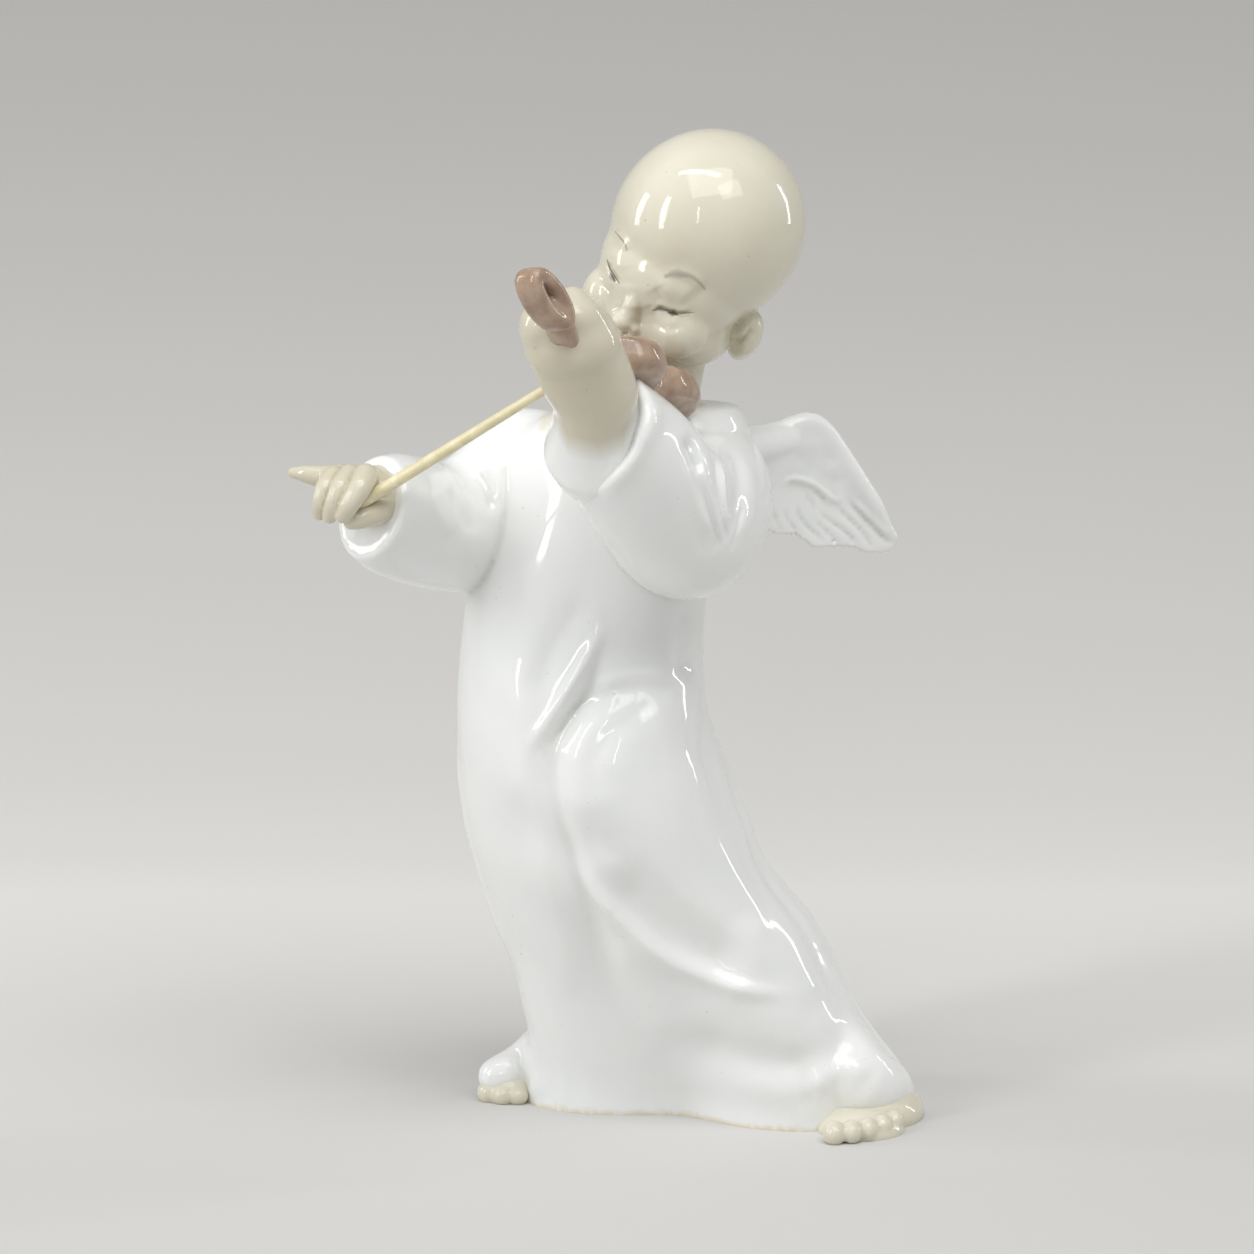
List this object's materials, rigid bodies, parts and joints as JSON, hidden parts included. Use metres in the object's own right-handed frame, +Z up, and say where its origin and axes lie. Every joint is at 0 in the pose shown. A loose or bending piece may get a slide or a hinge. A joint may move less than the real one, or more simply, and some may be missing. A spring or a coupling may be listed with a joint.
{
  "type": "angel figurine",
  "caption": "Glazed porcelain child angel in a long robe playing a violin, fused into one piece on a flat foot, with a loose stick bow held in its right hand.",
  "frame": {"origin": "middle of the flat foot that the figurine stands on", "axes": "+Z up, -Y towards the viewer of the figure's front, +X to that viewer's right"},
  "size_m": [0.1301, 0.139, 0.2069],
  "materials": {
    "robe_glaze": "cool white gloss glaze",
    "skin_glaze": "ivory gloss glaze",
    "violin_glaze": "pinkish brown gloss glaze",
    "bow_stick": "pale yellow varnish"
  },
  "bodies": {
    "root": {"angel_figurine": "robe_glaze", "violin_bow": "bow_stick"}
  },
  "joints": []
}
